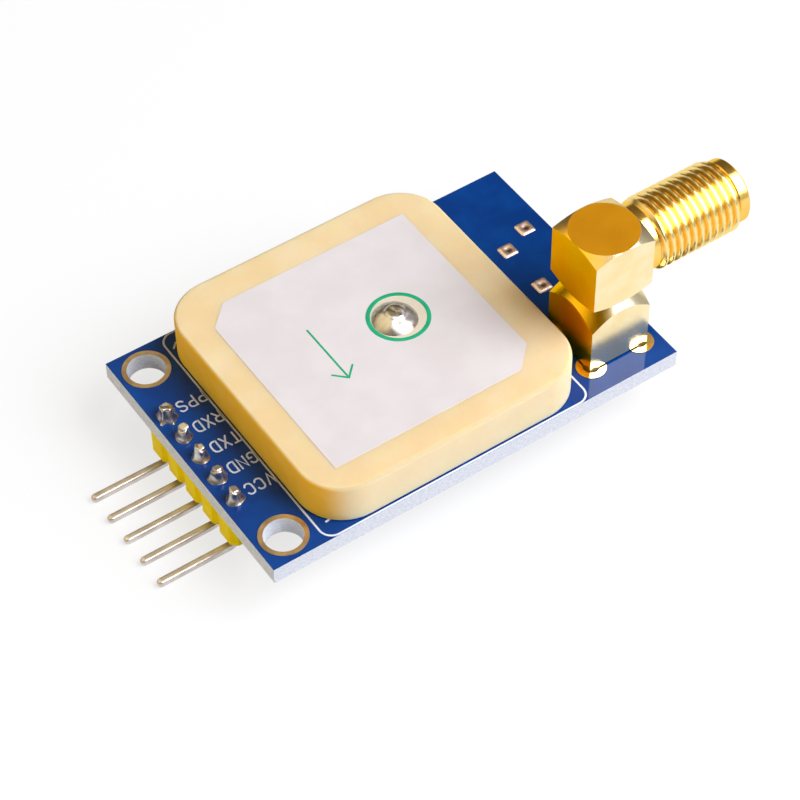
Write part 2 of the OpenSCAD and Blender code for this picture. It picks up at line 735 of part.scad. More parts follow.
module memory_body() {
    dimple_inset = 0.8;
    dimple_d = 0.6;
    dimple_depth = 0.1;
    color("#1d1e20") under(memory_x, memory_y) difference() {
        moulded_body(memory_l, memory_w, memory_h, memory_lift);
        translate([-memory_l / 2, -memory_w / 2, memory_lift + memory_h - dimple_depth])
            translate([dimple_inset, dimple_inset, 0]) cylinder(d = dimple_d, h = cut);
    }
}

module memory_leads() {
    color("#c4c0ba") under(memory_x, memory_y) for (side = [0, 1], i = [-1.5 : 1.5])
        mirror([0, side, 0]) translate([i * memory_l * memory_lead_step, 0, 0])
            gull_lead(memory_lead_w, memory_w / 2, memory_span / 2,
                memory_lift + memory_h / 2, memory_lead_t);
}

module regulator_body() {
    color("#1d1e20") under(regulator_x, regulator_y)
        moulded_body(regulator_l, regulator_w, regulator_h, regulator_lift);
}

// Three leads on one side and two on the other
module regulator_leads() {
    color("#c4c0ba") under(regulator_x, regulator_y) for (lead = [[-1, 0], [0, 0], [1, 0], [-1, 1], [1, 1]])
        mirror([0, lead[1], 0]) translate([lead[0] * regulator_l * regulator_lead_step, 0, 0])
            gull_lead(regulator_lead_w, regulator_w / 2, regulator_span / 2,
                regulator_lift + regulator_h / 2, regulator_lead_t);
}

module diode_body() {
    color("#1d1e20") under(memory_x, diode_y) moulded_body(diode_l, diode_w, diode_h, diode_lift);
}

module diode_leads() {
    color("#c4c0ba") under(memory_x, diode_y) for (side = [-1, 1])
        rotate([0, 0, side * 90])
            gull_lead(diode_lead_w, diode_l / 2, diode_span / 2, diode_lift + diode_h / 2, diode_lead_t);
}

// Middle of a chip part, between its metal ends
module chip_middle(place, h) {
    l = chip_l - 2 * chip_end;
    under(place.x, place.y) translate([-l / 2, -chip_w / 2, 0]) cube([l, chip_w, h]);
}

// Both metal ends of a chip part
module chip_end_pair(place, h) {
    under(place.x, place.y) for (side = [0, 1]) mirror([side, 0, 0])
        translate([chip_l / 2 - chip_end, -chip_w / 2, 0]) cube([chip_end, chip_w, h]);
}

module capacitors() {
    color("#b08a5a") for (place = capacitor_places) chip_middle(place, capacitor_h);
}

module resistors() {
    color("#202124") for (place = resistor_places) chip_middle(place, resistor_h);
}

module chip_ends() {
    color("#c9c6c0") {
        for (place = capacitor_places) chip_end_pair(place, capacitor_h);
        for (place = resistor_places) chip_end_pair(place, resistor_h);
        chip_end_pair(lamp_place, lamp_base_h);
    }
}

module lamp_base() {
    color("#e6e2d6") chip_middle(lamp_place, lamp_base_h);
}

module lamp_lens() {
    l = chip_l - 2 * chip_end;
    color("#b8e0b0") under(lamp_place.x, lamp_place.y) translate([-l / 2, -chip_w / 2, lamp_base_h])
        cube([l, chip_w, lamp_lens_h]);
}

circuit_board();
hole_rings();
test_pads();
antenna_ceramic();
antenna_electrode();
antenna_ground();
antenna_tape();
feed_pin();
feed_dome();
feed_joint();
header_block();
for (i = [0 : pin_count - 1])
    header_pin(i);
header_joints();
socket_block();
socket_barrel();
socket_insulator();
socket_contact();
socket_tail();
socket_bead();
socket_pads();
socket_joints();
receiver_board();
receiver_shield();
receiver_joints();
backup_cell();
cell_tabs();
memory_body();
memory_leads();
regulator_body();
regulator_leads();
diode_body();
diode_leads();
capacitors();
resistors();
chip_ends();
lamp_base();
lamp_lens();
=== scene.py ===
import json
import math

import bmesh
import bpy
import numpy as np
from mathutils import Matrix, Vector


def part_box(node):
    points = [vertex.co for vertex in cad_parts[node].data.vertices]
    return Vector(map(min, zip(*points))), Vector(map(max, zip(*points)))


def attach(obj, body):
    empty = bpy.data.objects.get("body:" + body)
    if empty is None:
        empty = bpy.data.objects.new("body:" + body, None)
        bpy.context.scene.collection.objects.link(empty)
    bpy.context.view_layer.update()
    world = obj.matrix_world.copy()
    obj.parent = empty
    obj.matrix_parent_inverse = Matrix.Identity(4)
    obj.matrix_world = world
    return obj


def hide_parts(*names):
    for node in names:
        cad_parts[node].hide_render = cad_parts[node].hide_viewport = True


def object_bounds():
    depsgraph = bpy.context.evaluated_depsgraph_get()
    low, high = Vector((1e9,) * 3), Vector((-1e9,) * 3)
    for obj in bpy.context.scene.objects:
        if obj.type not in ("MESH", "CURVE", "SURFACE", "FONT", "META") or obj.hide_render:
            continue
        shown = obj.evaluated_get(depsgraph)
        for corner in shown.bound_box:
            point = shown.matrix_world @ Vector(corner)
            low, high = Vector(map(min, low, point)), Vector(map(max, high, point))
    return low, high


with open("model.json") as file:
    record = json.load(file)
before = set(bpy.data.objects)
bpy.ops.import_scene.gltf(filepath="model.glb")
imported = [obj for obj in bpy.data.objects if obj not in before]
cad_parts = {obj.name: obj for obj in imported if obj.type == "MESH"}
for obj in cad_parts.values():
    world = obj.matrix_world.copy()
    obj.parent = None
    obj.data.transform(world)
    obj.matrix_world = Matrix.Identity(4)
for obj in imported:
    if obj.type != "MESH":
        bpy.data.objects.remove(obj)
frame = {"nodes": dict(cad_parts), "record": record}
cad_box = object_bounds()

MM = 0.001
TAU = 2 * math.pi
nodes = frame["nodes"]


def box_mm(node):
    """Lowest and highest corner of a CAD node, in millimetres."""
    low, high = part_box(node)
    return np.array(low) / MM, np.array(high) / MM


# Places read off the CAD nodes, in millimetres.

BOARD_LOW, BOARD_HIGH = box_mm("circuit_board")
BOARD_TOP = float(BOARD_HIGH[2])
PATCH_LOW, PATCH_HIGH = box_mm("antenna_ceramic")
SILVER_TOP = float(box_mm("antenna_electrode")[1][2])
DOME_LOW, DOME_HIGH = box_mm("feed_dome")
FEED = (DOME_LOW + DOME_HIGH) / 2
BARREL_LOW, BARREL_HIGH = box_mm("socket_barrel")
BARREL_AXIS = (BARREL_LOW + BARREL_HIGH) / 2
BLOCK_LOW, BLOCK_HIGH = box_mm("socket_block")
BLOCK_AXIS = (BLOCK_LOW + BLOCK_HIGH) / 2
PINS = [box_mm(f"header_pin_{i}") for i in range(1, 6)]
PIN_YS = [float(low[1] + high[1]) / 2 for low, high in PINS]
PIN_W = float(PINS[0][1][1] - PINS[0][0][1])
PIN_TOP = float(PINS[0][1][2])
JOINT_LOW, JOINT_HIGH = box_mm("header_joints")
JOINT_R = float(JOINT_HIGH[0] - JOINT_LOW[0]) / 2
PIN_X = float(JOINT_LOW[0] + JOINT_HIGH[0]) / 2
PAD_LOW, PAD_HIGH = box_mm("test_pads")
CAP_R = float(BLOCK_HIGH[0] - BLOCK_LOW[0]) / 2
THREAD_R = float(BARREL_HIGH[2] - BARREL_LOW[2]) / 2

# Places within a node, in millimetres: how far each test pad is from the board's socket end and
# where it is across the board, and the printed ring round the feed.

PAD_PLACES = ((1.9, 5.6), (4.6, 4.3), (4.6, -0.5))
PAD_MIDDLES = [np.array((BOARD_HIGH[0] - back, y)) for back, y in PAD_PLACES]
RING_R, RING_W = 2.455, 0.36
RING_MIDDLE = FEED[:2] + (0.37, 0.0)


# Meshes: every shape is a grid of points over two parameters.

def grid_quads(rows, cols, wrap_rows=False, wrap_cols=False):
    """Four corners of each cell of a grid of rows by columns, closed on itself where asked."""
    i, j = np.meshgrid(np.arange(rows if wrap_rows else rows - 1),
                       np.arange(cols if wrap_cols else cols - 1), indexing="ij")
    below, beside = (i + 1) % rows, (j + 1) % cols
    return np.stack([i * cols + j, i * cols + beside, below * cols + beside, below * cols + j],
                    axis=-1).reshape(-1, 4)


def end_caps(rows, count):
    """Quads across the first and the last section of a swept shell. Each joins two neighbouring
    points to the two that face them, so strips run from one side of the section to the other."""
    i = np.arange(count // 2 - 1)
    strips = np.stack([i, i + 1, count - 2 - i, count - 1 - i], axis=1)
    return np.concatenate([strips[:, ::-1], strips + (rows - 1) * count])


def outward(points, quads):
    """Turns the faces round where the volume that they enclose comes out below zero. Six times
    that volume is the sum, over each quad's two triangles, of the first corner dotted with the
    cross product of the other two."""
    a, b, c, d = (points[quads[:, k]] - points.mean(axis=0) for k in range(4))
    six_volumes = (a * np.cross(b, c)).sum() + (a * np.cross(c, d)).sum()
    return quads if six_volumes > 0 else quads[:, ::-1]


def make_piece(name, shells, finish, replaced=(), sharp_deg=35):
    """Puts closed shells, in millimetres, into one mesh that rides on the part."""
    starts = np.cumsum([0] + [len(points) for points, _ in shells[:-1]])
    points = np.concatenate([points for points, _ in shells])
    quads = np.concatenate([outward(shell, faces) + start
                            for (shell, faces), start in zip(shells, starts)])
    mesh = bpy.data.meshes.new(name)
    mesh.from_pydata((points * MM).tolist(), [], quads.tolist())
    mesh.validate()
    mesh.polygons.foreach_set("use_smooth", np.ones(len(mesh.polygons), dtype=bool))
    mesh.set_sharp_from_angle(angle=math.radians(sharp_deg))
    mesh.materials.append(finish)
    piece = bpy.data.objects.new(name, mesh)
    bpy.context.scene.collection.objects.link(piece)
    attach(piece, "root")
    if replaced:
        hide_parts(*replaced)


def rounded_frame(low, high, radius, count=12):
    """Points round a rectangle whose corners are quarter circles."""
    turn = np.linspace(0, TAU / 4, count)
    corners = [(high[0] - radius, high[1] - radius), (low[0] + radius, high[1] - radius),
               (low[0] + radius, low[1] + radius), (high[0] - radius, low[1] + radius)]
    return np.concatenate([
        np.stack([x + radius * np.cos(turn + quarter * TAU / 4),
                  y + radius * np.sin(turn + quarter * TAU / 4)], axis=1)
        for quarter, (x, y) in enumerate(corners)])


def circle(middle, radius, count=96):
    """Points round a level circle."""
    turn = np.linspace(0, TAU, count, endpoint=False)
    return np.stack([middle[0] + radius * np.cos(turn), middle[1] + radius * np.sin(turn)], axis=1)


def unit(steps):
    """Each row of steps divided by its own length."""
    return steps / np.maximum(np.linalg.norm(steps, axis=1), 1e-9)[:, None]


# Ink: the steps of its round ends, how blunt they stay, its least mitre, and its section as shares
# of half the width and of the height.

END_STEPS = np.array([0.45, 0.75, 0.93, 1.0])
END_BLUNT, LEAST_MITRE = 0.0025, 0.6
INK_SECTION = np.array([[-1, -0.4], [-0.97, 0.55], [-0.8, 1], [0.8, 1], [0.97, 0.55], [1, -0.4]])


def ink_stroke(path, width, height, level, closed=False):
    """Ribbon of ink: a low flat-topped section carried along a level path. At each point the
    section lies across the mean of the two directions that meet there, and an open path's ends
    narrow as half a circle does, by the root of one less the square of the way out."""
    path = np.asarray(path, float)
    half = np.full(len(path), width / 2)
    if closed:
        before, after = path - np.roll(path, 1, axis=0), np.roll(path, -1, axis=0) - path
    else:
        round_off = np.sqrt(np.maximum(1 - END_STEPS ** 2, END_BLUNT)) * width / 2
        first, last = unit(path[:1] - path[1:2]), unit(path[-1:] - path[-2:-1])
        path = np.concatenate([path[:1] + first * END_STEPS[::-1, None] * width / 2, path,
                               path[-1:] + last * END_STEPS[:, None] * width / 2])
        half = np.concatenate([round_off[::-1], half, round_off])
        steps = np.diff(path, axis=0)
        before, after = np.concatenate([steps[:1], steps]), np.concatenate([steps, steps[-1:]])
    before, after = unit(before), unit(after)
    mean = unit(before + after)
    stretch = 1 / np.maximum((mean * before).sum(axis=1), LEAST_MITRE)
    across = np.stack([-mean[:, 1], mean[:, 0]], axis=1) * (half * stretch)[:, None]
    flat = path[:, None, :] + across[:, None, :] * INK_SECTION[None, :, :1]
    lift = np.broadcast_to(level + INK_SECTION[:, 1] * height, flat.shape[:2])
    points = np.concatenate([flat, lift[..., None]], axis=2).reshape(-1, 3)
    quads = grid_quads(len(path), len(INK_SECTION), wrap_rows=closed, wrap_cols=True)
    if not closed:
        quads = np.concatenate([quads, end_caps(len(path), len(INK_SECTION))])
    return points, quads


# Materials.

class Signal:
    """A socket in a tree of nodes. Sums on it add Math nodes, and node() adds any other."""

    def __init__(self, tree, socket=None):
        self.tree, self.socket = tree, socket

    def node(self, kind, settings=None, values=None, out=0):
        """Adds a node of a kind, with its settings first and then its values and links."""
        made = self.tree.nodes.new("ShaderNode" + kind)
        for key, value in (settings or {}).items():
            setattr(made, key, value)
        for key, value in (values or {}).items():
            if isinstance(value, Signal):
                self.tree.links.new(value.socket, made.inputs[key])
            else:
                made.inputs[key].default_value = value
        return Signal(self.tree, made.outputs[out])

    def math(self, operation, *values):
        return self.node("Math", {"operation": operation}, dict(enumerate(values)))

    def __add__(self, other):
        return self.math("ADD", self, other)

    def __sub__(self, other):
        return self.math("SUBTRACT", self, other)

    def __rsub__(self, other):
        return self.math("SUBTRACT", other, self)

    def __mul__(self, other):
        return self.math("MULTIPLY", self, other)

    def __pow__(self, other):
        return self.math("POWER", self, other)

    def __abs__(self):
        return self.math("ABSOLUTE", self)

    __radd__, __rmul__ = __add__, __mul__

    def between(self, low, high):
        """Nought below low, one above high and a smooth step between them."""
        return self.node("MapRange", {"interpolation_type": "SMOOTHSTEP"},
                         {"Value": self, "From Min": low, "From Max": high})

    def mix(self, share, first, second):
        """Colour that goes from first to second as the share goes from nought to one."""
        return self.node("Mix", {"data_type": "RGBA"}, {0: share, 6: first, 7: second}, out=2)


def colour(hex_code):
    """Linear colour, with alpha, of a code written as red, green and blue on a screen."""
    parts = np.array([int(hex_code[k:k + 2], 16) / 255 for k in (1, 3, 5)])
    linear = np.where(parts <= 0.04045, parts / 12.92, ((parts + 0.055) / 1.055) ** 2.4)
    return (*linear.tolist(), 1.0)


class Finish:
    """A material under way: its shader, and the place on the part in millimetres. The colour and
    the roughness that it starts from show where a viewer drops the nodes."""

    def __init__(self, name, base, roughness=0.5, **constants):
        self.material = bpy.data.materials.new(name)
        self.material.use_nodes = True
        self.tree = self.material.node_tree
        self.shader = next(n for n in self.tree.nodes if n.type == "BSDF_PRINCIPLED")
        self.start = Signal(self.tree)
        self.set("Base Color", colour(base))
        self.set("Roughness", roughness)
        for key, value in constants.items():
            self.set(key.replace("_", " "), value)
        place = self.start.node("TexCoord", out="Object")
        self.place = self.start.node("VectorMath", {"operation": "SCALE"},
                                     {0: place, "Scale": 1 / MM})

    def set(self, socket, value):
        """Links a signal to one of the shader's sockets, or sets a constant on it."""
        if isinstance(value, Signal):
            self.tree.links.new(value.socket, self.shader.inputs[socket])
        else:
            self.shader.inputs[socket].default_value = value

    def axis(self, letter):
        return self.start.node("SeparateXYZ", None, {0: self.place}, out=letter)

    def facing(self, letter):
        """How far the surface faces along an axis, from minus one to one."""
        normal = self.start.node("NewGeometry", out="Normal")
        return self.start.node("SeparateXYZ", None, {0: normal}, out=letter)

    def noise(self, scale, detail=3.0, stretch=(1, 1, 1)):
        """Cloudy noise of so many lumps a millimetre, crowded along an axis by stretch."""
        where = self.start.node("VectorMath", {"operation": "MULTIPLY"},
                                {0: self.place, 1: stretch})
        return self.start.node("TexNoise", None,
                               {"Vector": where, "Scale": scale, "Detail": detail})

    def mix(self, share, first, second):
        """Mix of two colours, each a code or a signal."""
        pick = [v if isinstance(v, Signal) else colour(v) for v in (first, second)]
        return self.start.mix(share, *pick)

    def bump(self, height, depth_mm, strength=0.35):
        self.set("Normal", self.start.node("Bump", None, {
            "Height": height, "Distance": depth_mm * MM, "Strength": strength}))

    def away(self, middle):
        """Distance of the place from an upright axis."""
        dx, dy = self.axis("X") - float(middle[0]), self.axis("Y") - float(middle[1])
        return (dx * dx + dy * dy) ** 0.5


def board_mask():
    """Glossy blue mask over the faces, and pale glass laminate on the edges and in the holes."""
    f = Finish("board_mask", "#003f90", 0.32, Coat_Roughness=0.04, Coat_IOR=1.3,
               Specular_IOR_Level=0.05)
    face = abs(f.facing("Z")).between(0.5, 0.9)
    blue = f.mix(f.noise(0.35, 4.0).between(0.3, 0.75), "#003982", "#004594")
    fibre = f.noise(3.5, 3.0, (1, 1, 2.2))
    edge = f.mix(fibre.between(0.3, 0.7), "#ced4e2", "#e4e9f5")
    f.set("Base Color", f.mix(face, edge, blue))
    f.set("Roughness", 0.62 - face * 0.34)
    f.set("Coat Weight", face)
    f.bump(f.noise(2.2, 2.0) * face + fibre * (1 - face), 0.004, 0.5)
    return f.material


def fired_ceramic():
    """Unglazed fired ceramic: cream, with a fine grain, faint clouds and pits. Painted shade makes
    it browner on the side towards the header and duller along the front's upper edge, and painted
    light makes it paler on the front."""
    f = Finish("fired_ceramic", "#f3d8a8", 0.55, Subsurface_Weight=0.4, Subsurface_Scale=0.0022,
               Subsurface_Radius=(1.0, 0.55, 0.08), Specular_IOR_Level=0.12)
    cream = f.mix(f.noise(0.25, 4.0).between(0.35, 0.7), "#f2d5a2", "#f6deb2")
    painted_shade_brown = f.mix(f.noise(0.4, 3.0).between(0.3, 0.7), "#efb632", "#f2bd40")
    pale = f.mix(f.noise(0.4, 3.0).between(0.3, 0.7), "#eedab4", "#f0deba")
    # Painted light: faces towards the front are paler.
    front = 0 - f.facing("Y")
    cream = f.mix(front.between(0.2, 0.8), cream, pale)
    # Painted shade: the rounded upper edge of the front, turned to the key light, is darker.
    cream = f.mix((front * f.facing("Z")).between(0.15, 0.45), cream, "#dcc8a2")
    # Painted shade: faces towards the header are browner.
    cream = f.mix((0 - f.facing("X")).between(0.3, 0.9), cream, painted_shade_brown)
    speck = f.noise(9.0, 2.0).between(0.66, 0.78)
    f.set("Base Color", f.mix(speck * 0.35, cream, "#d9b27a"))
    f.set("Roughness", f.noise(3.0) * 0.2 + 0.55)
    f.bump(f.noise(6.0, 4.0), 0.012)
    return f.material


def fired_silver():
    """Matt fired silver, pale and faintly pink, stained cream where flux ran round the feed."""
    f = Finish("fired_silver", "#e6dedd", 0.46, Metallic=0.03, Specular_IOR_Level=0.08)
    silver = f.mix(f.noise(0.3, 5.0).between(0.3, 0.72), "#e4dcdc", "#e9e3e3")
    stain = 1 - f.away(RING_MIDDLE).between(RING_R - 0.3, RING_R)
    f.set("Base Color", f.mix(stain, silver, "#e8dcc4"))
    f.set("Roughness", f.noise(4.0, 4.0) * 0.2 + 0.46)
    f.bump(f.noise(7.0, 4.0), 0.006)
    return f.material


GOLD_EDGE = (1.0, 0.82, 0.36, 1.0)


def plated_gold():
    """Gold plate over milled brass, with painted shade and light: deeper on the faces towards the
    header and paler on the others. It is also deeper on the turned cap, with fine tool marks."""
    f = Finish("plated_gold", "#fada90", 0.2, Specular_Tint=GOLD_EDGE)
    out = f.away(BLOCK_AXIS)
    cap = f.axis("Z").between(BLOCK_HIGH[2] - 0.012, BLOCK_HIGH[2] - 0.004)
    cap = cap * (1 - out.between(CAP_R, CAP_R + 0.04))
    # Painted shade and light: faces towards the header take a deeper plate, and the others take a
    # paler one.
    header_side_painted_shade = (0 - f.facing("X")).between(0.1, 0.45)
    cloud = f.noise(0.45, 4.0).between(0.3, 0.7)
    plate = f.mix(header_side_painted_shade, f.mix(cloud, "#fbe6b4", "#fdf0cc"), f.mix(cloud, "#ffbc14", "#ffc822"))
    turning = f.start.node("TexNoise", {"noise_dimensions": "1D"},
                           {"W": out, "Scale": 14.0, "Detail": 2.0})
    worn = (f.noise(0.3, 2.0) * 0.7 + turning * 0.3).between(0.3, 0.7)
    deep = f.mix(worn, "#c58206", "#d0900c")
    f.set("Base Color", f.mix(cap, plate, deep))
    f.set("Metallic", 1 - cap * 0.6)
    f.set("Roughness", cap * 0.42 + f.noise(3.0, 4.0) * 0.12 + 0.14)
    f.bump(f.noise(5.0, 3.0, (1, 1, 12)) * (1 - cap) + turning * cap, 0.0015)
    return f.material


def painted_crest_gold():
    """Gold plate on the barrel, with a painted highlight: paler on the thread's crests than in its
    roots.
    """
    f = Finish("painted_crest_gold", "#fad672", 0.22, Metallic=1.0, Specular_Tint=GOLD_EDGE)
    dy, dz = f.axis("Y") - float(BARREL_AXIS[1]), f.axis("Z") - float(BARREL_AXIS[2])
    crest = ((dy * dy + dz * dz) ** 0.5).between(THREAD_R - 0.32, THREAD_R - 0.08)
    root = f.mix(f.noise(0.8, 4.0).between(0.3, 0.75), "#f9cc6c", "#fbd67c")
    # Painted highlight: the thread's crests are paler than its roots.
    f.set("Base Color", f.mix(crest, root, "#fce4a0"))
    f.set("Roughness", f.noise(5.0, 3.0) * 0.2 + 0.12)
    f.bump(f.noise(5.0, 3.0, (12, 1, 1)), 0.002)
    return f.material


def wetted_tin():
    """Tin on the test pads: faintly pink, and dark in each pad's dimple, a little off its middle.
    """
    f = Finish("wetted_tin", "#efdcd6", 0.4, Metallic=1.0)
    clear = 1.0
    for middle in PAD_MIDDLES:
        clear = clear * f.away(middle + (0.12, -0.1)).between(0.1, 0.42)
    tin = f.mix(f.noise(2.5, 3.0).between(0.3, 0.7), "#f4e0da", "#dcbcb4")
    f.set("Base Color", f.mix(clear, "#6a5244", tin))
    f.set("Roughness", f.noise(4.0, 3.0) * 0.24 + 0.3)
    f.bump(f.noise(5.0, 3.0), 0.006, 0.4)
    return f.material


def metal(name, light, dark, roughness, grain=4.0, depth=0.004, stretch=(1, 1, 1)):
    """Plain metal with cloudy tarnish between two tones and a faint grain."""
    f = Finish(name, light, roughness, Metallic=1.0)
    f.set("Base Color", f.mix(f.noise(0.8, 4.0).between(0.3, 0.75), light, dark))
    f.set("Roughness", f.noise(grain, 3.0) * 0.24 + (roughness - 0.12))
    f.bump(f.noise(grain, 3.0, stretch), depth, 0.4)
    return f.material


def moulding(name, light, dark, roughness, depth=0.006, **constants):
    """Plain plastic, ink or laminate with a slow drift between two tones and a fine texture."""
    f = Finish(name, light, roughness, **constants)
    f.set("Base Color", f.mix(f.noise(0.7, 4.0).between(0.3, 0.7), light, dark))
    f.set("Roughness", f.noise(5.0) * 0.2 + (roughness - 0.1))
    f.bump(f.noise(8.0, 3.0), depth)
    return f.material


finishes = {
    "board_mask": board_mask(),
    "ring_copper": metal("ring_copper", "#dcc29c", "#b59e80", 0.34),
    "tin": metal("tinned", "#ddd6d4", "#b3a9a7", 0.3, grain=6.0),
    "ceramic": fired_ceramic(),
    "silver": fired_silver(),
    "tape": moulding("adhesive_film", "#ece6d8", "#ddd5c2", 0.6),
    "feed_metal": metal("feed_metal", "#d9d5ce", "#bdb6ab", 0.3),
    "solder": metal("bright_solder", "#dcd6d0", "#a89f96", 0.3, grain=3.0, depth=0.008),
    "header_plastic": moulding("yellow_moulding", "#ffe600", "#fcd900", 0.5,
                               Specular_IOR_Level=0.06),
    "pin_metal": metal("tinned_pin", "#dcd5cf", "#c2b9b0", 0.38, grain=6.0, depth=0.0003,
                       stretch=(0.1, 1, 1)),
    "gold": plated_gold(),
    "insulator": moulding("white_insulator", "#f3f1ea", "#e8e4d8", 0.4),
    "receiver_mask": moulding("green_mask", "#14663a", "#0e5530", 0.3, Coat_Weight=0.6),
    "shield": metal("tinned_sheet", "#cfd1d3", "#b4b6b9", 0.3, grain=2.0, depth=0.006,
                    stretch=(0.08, 1, 1)),
    "cell_steel": metal("bright_steel", "#dcdcdc", "#c3c4c6", 0.24, grain=5.0, depth=0.003),
    "chip_black": moulding("black_moulding", "#222326", "#17181a", 0.55, depth=0.012),
    "capacitor_body": moulding("fired_chip", "#b58d5c", "#9d774a", 0.45),
    "resistor_body": moulding("glazed_chip", "#26272b", "#17181b", 0.3),
    "lamp_base": moulding("white_laminate", "#e9e5da", "#dcd6c6", 0.5),
    "lamp_lens": moulding("tinted_resin", "#cfe8c8", "#bfdcb6", 0.15, Transmission_Weight=0.5),
}
white_ink = moulding("white_ink", "#e6edfa", "#d8e0f0", 0.55)
green_ink = moulding("green_ink", "#0fa573", "#1cb482", 0.5)

for part in frame["record"]["subparts"]:
    mesh = nodes[part["node"]].data
    mesh.materials.clear()
    mesh.materials.append(finishes[part["material_slot"]])


# Eased edges on the header and the shield.

EASE_FROM_DEG, EASE_STEPS, FLAT_DEG, SAME_PLACE = 30, 2, 0.5, 0.0001


def eased(name, node, width):
    """Copy of a CAD node with its loose triangles merged and its flat faces made whole, and then
    a bevel along every edge where two faces meet at more than a set angle."""
    mesh = nodes[node].data.copy()
    mesh.name = name
    shape = bmesh.new()
    shape.from_mesh(mesh)
    bmesh.ops.remove_doubles(shape, verts=shape.verts, dist=SAME_PLACE * MM)
    bmesh.ops.dissolve_limit(shape, angle_limit=math.radians(FLAT_DEG), verts=shape.verts,
                             edges=shape.edges)
    shape.to_mesh(mesh)
    shape.free()
    mesh.polygons.foreach_set("use_smooth", np.ones(len(mesh.polygons), dtype=bool))
    piece = bpy.data.objects.new(name, mesh)
    bpy.context.scene.collection.objects.link(piece)
    bevel = piece.modifiers.new("eased_edges", "BEVEL")
    bevel.width, bevel.segments, bevel.use_clamp_overlap = width * MM, EASE_STEPS, False
    bevel.limit_method, bevel.angle_limit = "ANGLE", math.radians(EASE_FROM_DEG)
    bevel.harden_normals = True
    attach(piece, "root")
    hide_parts(node)


eased("header_moulding", "header_block", 0.08)
eased("shield_can", "receiver_shield", 0.1)


# Threaded barrel of the coaxial socket, in millimetres. The thread's start is a share of a turn,
# and its flanks are shares of half a pitch.

THREAD_PITCH = 0.706
THREAD_DEPTH = 0.4
THREAD_START = 0.475
ROOT_FROM, FLANK_W, FLANK_EASE = 0.82, 0.62, 0.4
RUN_OUT = 1.1
THREAD_ROWS, BARREL_SIDES, BARREL_SHARP_DEG = 221, 128, 28
COLLAR_L, COLLAR_R = 0.9, 2.8
NOSE_L, NOSE_R = 1.1, 2.75
SOCKET_R, SOCKET_DEPTH = 2.3, 1.9
INNER_R, SPIGOT_R, SPIGOT_L = 2.05, 2.45, 1.4
MOUTH_BEVEL = 0.2
EDGE = 0.06

face_x = BARREL_LOW[0] + SPIGOT_L
thread_from, thread_to = face_x + COLLAR_L, BARREL_HIGH[0] - NOSE_L
mouth_x, floor_x = BARREL_HIGH[0], BARREL_HIGH[0] - SOCKET_DEPTH


def thread_radius(x, angle):
    """Radius of the thread: a ridge that moves along by one pitch for each turn. Across a pitch
    the ridge climbs from a flat root to a flat crest on flanks that blend a straight line with a
    smooth step, and at both ends it is held under a cone that rises from the plain part there."""
    turn = (x - thread_from) / THREAD_PITCH - angle / TAU + THREAD_START
    away = np.abs((turn % 1.0) - 0.5) * 2
    line = np.clip((ROOT_FROM - away) / FLANK_W, 0, 1)
    ridge = (1 - FLANK_EASE) * line + FLANK_EASE * line * line * (3 - 2 * line)
    held = THREAD_R - THREAD_DEPTH * (1 - ridge)
    held = np.minimum(held, COLLAR_R + (x - thread_from) * RUN_OUT)
    return np.minimum(held, NOSE_R + (thread_to - x) * RUN_OUT)


def threaded_barrel():
    """Ring turned about the barrel's axis: each row of the profile gives a place along the axis
    and a radius, the rows on the thread take theirs from the angle too, and the rows close into
    a loop, so the walls inside and outside are one surface."""
    thread = np.linspace(thread_from, thread_to, THREAD_ROWS)
    profile = np.concatenate([
        [[BARREL_LOW[0], INNER_R], [BARREL_LOW[0], SPIGOT_R], [face_x, SPIGOT_R],
         [face_x, COLLAR_R - EDGE], [face_x + EDGE, COLLAR_R],
         [thread_from - 2 * EDGE, COLLAR_R], [thread_from - EDGE, COLLAR_R - EDGE]],
        np.stack([thread, np.full_like(thread, THREAD_R)], axis=1),
        [[thread_to + EDGE, NOSE_R - EDGE], [thread_to + 2 * EDGE, NOSE_R],
         [mouth_x - MOUTH_BEVEL, NOSE_R], [mouth_x, NOSE_R - MOUTH_BEVEL],
         [mouth_x, SOCKET_R + EDGE], [mouth_x - EDGE, SOCKET_R], [floor_x, SOCKET_R],
         [floor_x, INNER_R]]])
    angle = np.linspace(0, TAU, BARREL_SIDES, endpoint=False)
    x = np.broadcast_to(profile[:, :1], (len(profile), len(angle)))
    radius = np.where(profile[:, 1:] == THREAD_R, thread_radius(x, angle), profile[:, 1:])
    points = np.stack([x, BARREL_AXIS[1] + radius * np.cos(angle),
                       BARREL_AXIS[2] + radius * np.sin(angle)], axis=-1)
    return points.reshape(-1, 3), grid_quads(*x.shape, wrap_rows=True, wrap_cols=True)


make_piece("threaded_barrel", [threaded_barrel()], painted_crest_gold(), ["socket_barrel"],
           BARREL_SHARP_DEG)


# Pins of the header and their solder, in millimetres, with angles in radians. The burr, the nose's
# least size and the heap's values are shares of the full size.

PIN_AXIS_Z = float(PINS[0][0][2]) + PIN_W / 2
PIN_TIP_X = float(PINS[0][0][0])
PIN_BEND_R = 1.0
PIN_EDGE_R = 0.19
PIN_NOSE, NOSE_TURN, NOSE_POWER, NOSE_LEAST = 0.42, 1.45, 2.5, 0.03
PIN_BURR, BURR_SIZE, PIN_SHANK = 0.07, 0.8, 0.6
CLIP_SLANT, CLIP_SPREAD, CLIP_TURN = 0.16, 1.5, 1.3


